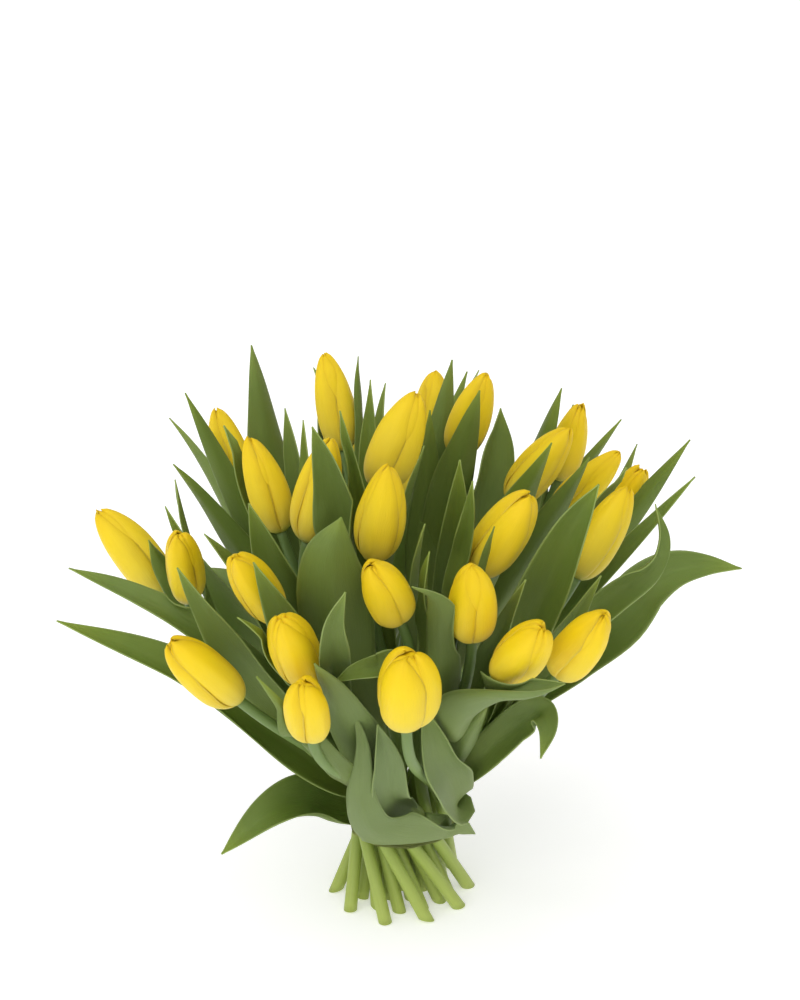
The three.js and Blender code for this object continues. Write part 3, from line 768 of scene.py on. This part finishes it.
leaf_finish = Finish("leaf", Specular_IOR_Level=0.4, Subsurface_Weight=0.06, Subsurface_Scale=0.003)
leaf_finish.shader.inputs["Subsurface Radius"].default_value = (0.5, 1.0, 0.2)
leaf_map = leaf_finish.coordinates("UV")
across_leaf, up_leaf, _ = leaf_finish.split(leaf_map)
leaf_places = leaf_finish.coordinates("Object")
off_rib = abs(across_leaf * 2 - 1)
veins = leaf_finish.grain(leaf_map, 7, (20, 0.9, 1), 3)
patches = leaf_finish.grain(leaf_places, 28, detail=3)
wax = leaf_finish.mark("wax")
leaf_colour = leaf_finish.ramp(
    up_leaf,
    (0, srgb(150, 172, 84)),
    (0.12, srgb(114, 132, 46)),
    (0.5, srgb(95, 115, 37)),
    (0.85, srgb(105, 126, 40)),
    (1, srgb(134, 153, 48)),
)
leaf_colour = leaf_finish.mix(wax * (0.4 + 0.6 * patches), leaf_colour, srgb(126, 144, 96))
edge = leaf_finish.step(off_rib, 0.93, 0.99)
leaf_colour = leaf_finish.mix(edge * 0.35, leaf_colour, srgb(166, 184, 112))
leaf_finish.shade(
    Base_Color=leaf_finish.tint(leaf_colour, 0.82 + 0.36 * veins),
    Roughness=0.38 + 0.12 * wax + 0.16 * patches,
)
leaf_finish.bump(veins + 0.3 * patches, LEAF_GRAIN_DEPTH * MM)

FLOWERS = [(foot_of(t), direction(*t["faces"]), t["flower"][0], t["flower"][1] / 2) for t in TULIPS]


def clear_of_flowers(point):
    """A point moved straight away from the axis of each flower that it would lie in."""
    for foot, axis, length, half in FLOWERS:
        from_foot = point - foot
        up = from_foot.dot(axis)
        level = (up / length - ROUND_MIDDLE) / ROUND_HALF
        if abs(level) >= 1:
            continue
        out = from_foot - axis * up
        wanted = half * math.sqrt(1 - level**2) + BLADE_CLEARANCE
        distance = out.length
        if distance < wanted:
            point = point + out * ((wanted - distance) / distance)
    return point


def blade_width(along, taper):
    """The share of its full width that a blade has: a narrow root, a broad middle and a pointed tip."""
    if along < WIDEST_LEAF_AT:
        return 1 - (1 - ROOT_WIDTH) * (1 - along / WIDEST_LEAF_AT) ** 2
    return 1 - ((along - WIDEST_LEAF_AT) / (1 - WIDEST_LEAF_AT)) ** taper


def square_to(way, direction):
    """The unit vector of one direction that is square to another."""
    return (direction - way * direction.dot(way)).normalized()


def plain_blade(stem, leaf):
    """A plain leaf's shape: it leaves the stem, runs beside it and bends away to its tip."""
    share, tip, width, bend = leaf
    start = on_curve(stem, share)
    stem_way = run_of(stem, share)
    end = Vector(tip)
    reach = (end - start).length
    heading = (end - start).normalized()
    away = square_to(stem_way, heading)

    def face_of(way):
        return (stem_way * way.dot(away) - away * way.dot(stem_way)).normalized()

    start = start + away * LEAF_ROOT
    leaving = math.radians(LEAVING_ANGLE)
    bend = math.radians(bend)
    arrive = heading * math.cos(bend) - face_of(heading) * math.sin(bend)
    depart = stem_way * math.cos(leaving) + away * math.sin(leaving)
    spine = start, start + depart * reach * LEAF_LEAVES, end - arrive * reach * LEAF_ARRIVES, end

    def run(along):
        way = run_of(spine, along)
        return on_curve(spine, along), way, face_of(way)

    return run, away, width, BLADE_FOLD, TIP_TAPER


def bent_blade(stem, leaf):
    """The shape of a leaf that bends more than once: it runs by its own points."""
    points = [Vector(point) for point in leaf["by"]]
    start = on_curve(stem, leaf["share"])
    away = square_to(run_of(stem, leaf["share"]), points[0] - start)
    points.insert(0, start + away * LEAF_ROOT)
    points = [2 * points[0] - points[1], *points, 2 * points[-1] - points[-2]]
    spans = len(points) - 3
    first, last = leaf["looks"]

    def run(along):
        span = min(int(along * spans), spans - 1)
        t = along * spans - span
        before, here, there, after = points[span : span + 4]
        leave = (there - before) / 2
        arrive = (after - here) / 2
        at = here * (2 * t**3 - 3 * t**2 + 1) + there * (3 * t**2 - 2 * t**3)
        at = at + leave * (t**3 - 2 * t**2 + t) + arrive * (t**3 - t**2)
        way = (there - here) * (6 * t - 6 * t**2)
        way = way + leave * (3 * t**2 - 4 * t + 1) + arrive * (3 * t**2 - 2 * t)
        way.normalize()
        return at, way, square_to(way, direction(*first).lerp(direction(*last), along))

    return run, away, leaf["width"], leaf.get("fold", BLADE_FOLD), leaf.get("taper", TIP_TAPER)


def section(across, channel, turned):
    """A point of a blade's section, out from its middle and up: an arc that can turn further outside."""
    inner = min(abs(across), TURNED_FROM)
    outer = max(0, abs(across) - TURNED_FROM)
    out = math.sin(channel * inner) / channel
    up = (1 - math.cos(channel * inner)) / channel
    bend = channel + turned / (1 - TURNED_FROM)
    start = channel * inner
    if outer and abs(bend) > NEARLY_STRAIGHT:
        out += (math.sin(start + bend * outer) - math.sin(start)) / bend
        up += (math.cos(start) - math.cos(start + bend * outer)) / bend
    return math.copysign(out, across), up + RIB_CREASE * (math.hypot(out, RIB_WIDTH) - RIB_WIDTH)


def leaf_place(stem, leaf, seed, edges):
    """Puts a point of one leaf in its place. Only plain leaves clasp their stem."""
    bent = isinstance(leaf, dict)
    shape = bent_blade if bent else plain_blade
    run, away, width, fold, taper = shape(stem, leaf)
    clasping_width = min(CLASP_WIDTH, CLASP_SHARE * width) - ROOT_WIDTH * width / 2
    root_channel = BENT_ROOT_CHANNEL if bent else ROOT_CHANNEL

    def place(across, along):
        spine_point, way, face = run(along)
        side = way.cross(face)
        clasp = 0 if bent else max(0, 1 - along / CLASP_ENDS) ** 2
        half = max(width / 2 * blade_width(along, taper), TIP_HALF_WIDTH) + clasping_width * clasp
        closing = max(0, 1 - along / CHANNEL_OPEN_AT) ** CHANNEL_OPENING
        channel = math.radians(CHANNEL_FOR_FOLD * fold) + root_channel * closing
        at = clear_of_flowers(spine_point + away * CLASP_STANDS_OFF * clasp)
        waving = EDGE_WAVE * math.sin(math.pi * along) * abs(across) ** WAVE_AT_EDGE
        ripple = math.sin(along * WAVES_ALONG + seed + (OTHER_EDGE if across > 0 else 0))
        turned = 0
        for edge, first, last, turn in edges:
            if first < along < last and across * edge > 0:
                turned += turn * math.sin(math.pi * (along - first) / (last - first)) ** 2
        out, up = section(across, channel, turned)
        at = at + side * (half * out) + face * (half * up + waving * ripple)
        return clear_of_flowers(at)

    return place


# Edges that turn over: the side of the leaf, where the turned part starts and ends along it, and by how
# many radians, turning towards the hollow side where that is above zero.
TURNED_EDGES = {
    "tulip_13_leaf_2": [(-1, 0.06, 0.42, -2.1)],
    "tulip_14_leaf_2": [(-1, 0.35, 0.95, 1.0)],
    "tulip_14_leaf_3": [(-1, 0.15, 0.8, 1.6)],
    "tulip_18_leaf_1": [(1, 0.3, 0.95, 1.0)],
    "tulip_19_leaf_1": [(1, 0.3, 1.1, 1.6)],
}

# Leaves that turn their outer side to the front, and how much of its grey wax they show, from 0 to 1.
GREY_LEAVES = {
    "tulip_12_leaf_1": 0.3, "tulip_12_leaf_4": 0.35, "tulip_13_leaf_1": 0.25, "tulip_13_leaf_2": 0.7,
    "tulip_13_leaf_3": 0.45, "tulip_13_leaf_4": 0.9, "tulip_16_leaf_1": 0.4, "tulip_18_leaf_1": 0.5,
    "tulip_19_leaf_1": 0.55, "tulip_19_leaf_2": 0.5,
}

random.seed(5)
for number, tulip in enumerate(TULIPS, 1):
    blades = []
    for place_on_stem, leaf in enumerate(tulip["leaves"], 1):
        blade = new_sheet()
        wax_layer = blade.verts.layers.float.new("wax")
        name = f"tulip_{number:02d}_leaf_{place_on_stem}"
        leaf_wax = GREY_LEAVES.get(name, random.uniform(LEAST_WAX, MOST_WAX))
        place = leaf_place(upper_stem(tulip), leaf, random.uniform(0, 6), TURNED_EDGES.get(name, []))
        for point in add_grid(blade, LEAF_COLUMNS, LEAF_ROWS, place):
            point[wax_layer] = leaf_wax
        blades.append(add_piece(name, blade, leaf_finish, LEAF_THICKNESS))
    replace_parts(blades[0], f"tulip_{number:02d}_stem_and_leaves")


# The tie. Green florist's twine of twisted fibre, wound tight round the stems where they cross, so that
# it runs straight from one outer stem to the next and bends over each.
TWINE_RADIUS = 1
TWINE_TURNS = 3
TWINE_SLACK = 0.3
TURN_SPACING = 0.96
TWINE_COLUMNS = 8
TWINE_ROWS = 400
END_ROW = 0.001
TWINE_GRAIN_DEPTH = 0.4
OUTER_RING, OUTER_PLACES, OUTER_FIRST = RINGS[-1]

twine_finish = Finish("twine", Specular_IOR_Level=0.2)
twist = twine_finish.add(
    "ShaderNodeTexWave",
    {"bands_direction": "DIAGONAL"},
    {"Vector": twine_finish.coordinates("UV"), "Scale": 60},
    output=1,
)
hairs = twine_finish.grain(twine_finish.coordinates("Object"), 900, detail=4)
twine_finish.shade(
    Base_Color=twine_finish.mix(0.5 * twist + 0.5 * hairs, srgb(132, 146, 70), srgb(182, 192, 112)),
    Roughness=0.75 + 0.2 * hairs,
)
twine_finish.bump(twist + 0.6 * hairs, TWINE_GRAIN_DEPTH * MM)


def twine_point(across, along):
    """A point of the winding, whose first and last rows close its ends."""
    turn = 2 * math.pi * TWINE_TURNS * along + math.radians(OUTER_FIRST)
    spacing = 2 * math.pi / OUTER_PLACES
    off_middle = (turn - math.radians(OUTER_FIRST)) % spacing - spacing / 2
    reach = STEM_RADIUS + TWINE_RADIUS
    straight = (OUTER_RING * math.cos(spacing / 2) + reach) / math.cos(off_middle)
    radius = min(straight, OUTER_RING + reach) + TWINE_SLACK
    out = Vector((math.cos(turn), math.sin(turn), 0))
    rise = (along - 0.5) * 2 * TWINE_RADIUS * TWINE_TURNS * TURN_SPACING
    at = out * radius + Vector((0, 0, TIE_HEIGHT + rise))
    thick = TWINE_RADIUS if END_ROW < along < 1 - END_ROW else 0
    around = across * math.pi
    return at + (out * math.cos(around) - Vector((0, 0, math.sin(around)))) * thick


winding = new_sheet()
add_grid(winding, TWINE_COLUMNS, TWINE_ROWS, twine_point)
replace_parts(add_piece("tie_twine", winding, twine_finish), "tie")


# The room. A plain white table in white daylight, with one wide soft window light from the front left.
# The table glows a little, as an overexposed white table does, so that only the shadow under the bunch
# shows.
TABLE_SIZE = 12
TABLE_WHITE = (0.92, 0.92, 0.92, 1)
TABLE_GLOW = 0.35
WHITE = (1, 1, 1, 1)
DAYLIGHT = 0.6
WINDOW_SIDE = (-0.3, -0.7, 1)
WINDOW_LIGHT = 1.55
WINDOW_WIDTH = 80

table_finish = Finish("white_table", Base_Color=TABLE_WHITE, Roughness=0.7, Specular_IOR_Level=0.1)
table_finish.shader.inputs["Emission Color"].default_value = WHITE
table_finish.shader.inputs["Emission Strength"].default_value = TABLE_GLOW
table_sheet = bmesh.new()
bmesh.ops.create_grid(table_sheet, x_segments=1, y_segments=1, size=TABLE_SIZE / 2)
table_mesh = bpy.data.meshes.new("table")
table_sheet.to_mesh(table_mesh)
table_sheet.free()
table_mesh.materials.append(table_finish.material)
add_object("table", table_mesh)

light = bpy.data.lights.new("window", "SUN")
light.energy = WINDOW_LIGHT
light.angle = math.radians(WINDOW_WIDTH)
window = add_object("window", light)
window.rotation_euler = Vector(WINDOW_SIDE).to_track_quat("Z", "Y").to_euler()

room = bpy.data.worlds.new("room")
scene.world = room
room.use_nodes = True
room.node_tree.nodes["Background"].inputs["Color"].default_value = WHITE
room.node_tree.nodes["Background"].inputs["Strength"].default_value = DAYLIGHT
scene.view_settings.view_transform = "Standard"
